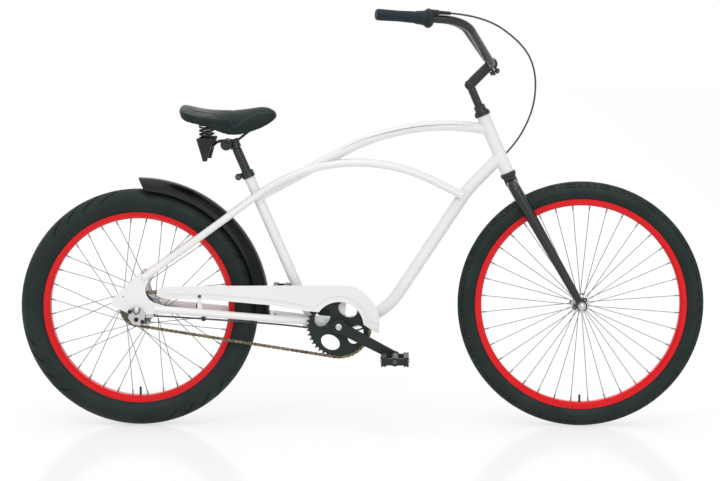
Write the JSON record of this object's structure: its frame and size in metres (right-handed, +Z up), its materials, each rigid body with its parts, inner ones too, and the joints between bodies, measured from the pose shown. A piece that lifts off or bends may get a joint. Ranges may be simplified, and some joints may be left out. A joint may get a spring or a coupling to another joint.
{
  "type": "beach cruiser bicycle",
  "caption": "Cruiser bicycle with an arched twin-stay frame, wide tyres, swept-back bar, sprung saddle, chain guard, rear fender and internally geared rear hub.",
  "frame": {"origin": "on the ground, under the middle of the whole bicycle", "axes": "+X forward, +Y to the rider's left, +Z up"},
  "size_m": [1.8492, 0.6786, 1.127],
  "materials": {
    "frame_paint": "gloss white paint on alloy",
    "guard_paint": "gloss white",
    "black_steel": "satin black",
    "black_alloy": "satin black",
    "fender_paint": "gloss black",
    "rim_paint": "gloss red",
    "tyre": "matt",
    "tube_rubber": "matt",
    "grip_rubber": "matt",
    "spoke_steel": "satin",
    "bright_steel": "bright",
    "hub_alloy": "satin",
    "chain_steel": "oiled brown and gold",
    "black_plastic": "matt",
    "cable_jacket": "satin",
    "saddle_vinyl": "satin grained"
  },
  "bodies": {
    "frame": {"head_tube": "frame_paint", "bracket_shell": "frame_paint", "seat_tube": "frame_paint", "top_tube": "frame_paint", "down_tube": "frame_paint", "dropouts": "frame_paint", "stay_tube_right": "frame_paint", "stay_tube_left": "frame_paint", "chainstays": "frame_paint", "stay_bridges": "frame_paint", "bearing_cups": "black_alloy", "seat_collar": "black_steel", "frame_screws": "bright_steel", "chainguard": "guard_paint", "chainguard_brackets": "black_steel", "rear_fender": "fender_paint", "rear_axle": "bright_steel", "coaster_brake_arm": "black_steel", "shift_unit": "hub_alloy", "shift_cable_run": "cable_jacket", "cable_guides": "black_plastic", "chain": "chain_steel"},
    "steering": {"headset_races": "black_steel", "fork_crown": "black_steel", "fork_blades": "black_steel", "stem": "black_alloy", "stem_bolts": "bright_steel", "handlebar": "black_steel", "grip_right": "grip_rubber", "grip_left": "grip_rubber", "shifter_housing": "black_plastic", "front_axle": "bright_steel", "shift_cable_loop": "cable_jacket"},
    "shift_twist": {"shifter_barrel": "black_plastic"},
    "front_wheel": {"front_rim": "rim_paint", "front_tyre": "tyre", "front_inner_tube": "tube_rubber", "front_spokes": "spoke_steel", "front_hub": "hub_alloy"},
    "rear_wheel": {"rear_rim": "rim_paint", "rear_tyre": "tyre", "rear_inner_tube": "tube_rubber", "rear_spokes": "spoke_steel", "rear_hub": "hub_alloy"},
    "rear_cog": {"rear_sprocket": "chain_steel"},
    "shift_pulley": {"shift_pulley": "black_plastic"},
    "crank": {"chainring": "black_steel", "crank_arm_right": "black_alloy", "crank_arm_left": "black_alloy", "crank_spindle": "bright_steel", "pedal_axles": "bright_steel"},
    "pedal_right": {"pedal_right": "black_plastic"},
    "pedal_left": {"pedal_left": "black_plastic"},
    "seatpost": {"seat_post": "black_alloy", "saddle_clamp": "black_steel"},
    "saddle_frame": {"saddle_rails": "black_steel", "spring_boots": "grip_rubber", "saddle_springs": "black_steel"},
    "saddle": {"saddle_pan": "black_plastic", "saddle_cover": "saddle_vinyl"}
  },
  "joints": [
    {"name": "steering", "type": "hinge", "parent": "frame", "child": "steering", "pos_m": [0.39274, 0, 0.68855], "axis": [-0.3971, 0, 0.9178], "range_deg": [-75, 75], "deforming": ["shift_cable_loop"]},
    {"name": "front_wheel_spin", "type": "hinge", "parent": "steering", "child": "front_wheel", "pos_m": [0.59225, 0, 0.3325], "axis": [0, 1, 0], "continuous": true},
    {"name": "rear_wheel_spin", "type": "hinge", "parent": "frame", "child": "rear_wheel", "pos_m": [-0.60275, 0, 0.322], "axis": [0, 1, 0], "continuous": true},
    {"name": "crank_spin", "type": "hinge", "parent": "frame", "child": "crank", "pos_m": [-0.05996, 0, 0.2776], "axis": [0, 1, 0], "continuous": true, "deforming": ["chain"]},
    {"name": "rear_cog_spin", "type": "hinge", "parent": "frame", "child": "rear_cog", "pos_m": [-0.60275, 0, 0.322], "axis": [0, 1, 0], "continuous": true},
    {"name": "pedal_right_spin", "type": "hinge", "parent": "crank", "child": "pedal_right", "pos_m": [0.09069, 0, 0.19884], "axis": [0, 1, 0], "continuous": true},
    {"name": "pedal_left_spin", "type": "hinge", "parent": "crank", "child": "pedal_left", "pos_m": [-0.21062, 0, 0.35636], "axis": [0, 1, 0], "continuous": true},
    {"name": "shift_twist", "type": "hinge", "parent": "steering", "child": "shift_twist", "pos_m": [0.1479, -0.2934, 1.1039], "axis": [0.9524, 0.297, -0.0692], "range_deg": [0, 75]},
    {"name": "shift_pulley_turn", "type": "hinge", "parent": "frame", "child": "shift_pulley", "pos_m": [-0.60275, 0, 0.322], "axis": [0, 1, 0], "range_deg": [0, 40]},
    {"name": "seatpost_height", "type": "slide", "parent": "frame", "child": "seatpost", "axis": [-0.4004, 0, 0.9164], "range_m": [-0.06, 0.07]},
    {"name": "saddle_tilt", "type": "hinge", "parent": "seatpost", "child": "saddle_frame", "pos_m": [-0.36315, 0, 0.76402], "axis": [0, 1, 0], "range_deg": [-10, 10]},
    {"name": "saddle_bounce", "type": "hinge", "parent": "saddle_frame", "child": "saddle", "pos_m": [-0.27315, 0, 0.82402], "axis": [0, -1, 0], "range_deg": [0, 5], "stiffness_Nm_per_rad": 1000, "deforming": ["saddle_springs"]}
  ],
  "couplings": [
    {"joint": "rear_cog_spin", "follows": "crank_spin", "ratio": 1.9091},
    {"joint": "shift_pulley_turn", "follows": "shift_twist", "ratio": 0.5}
  ]
}
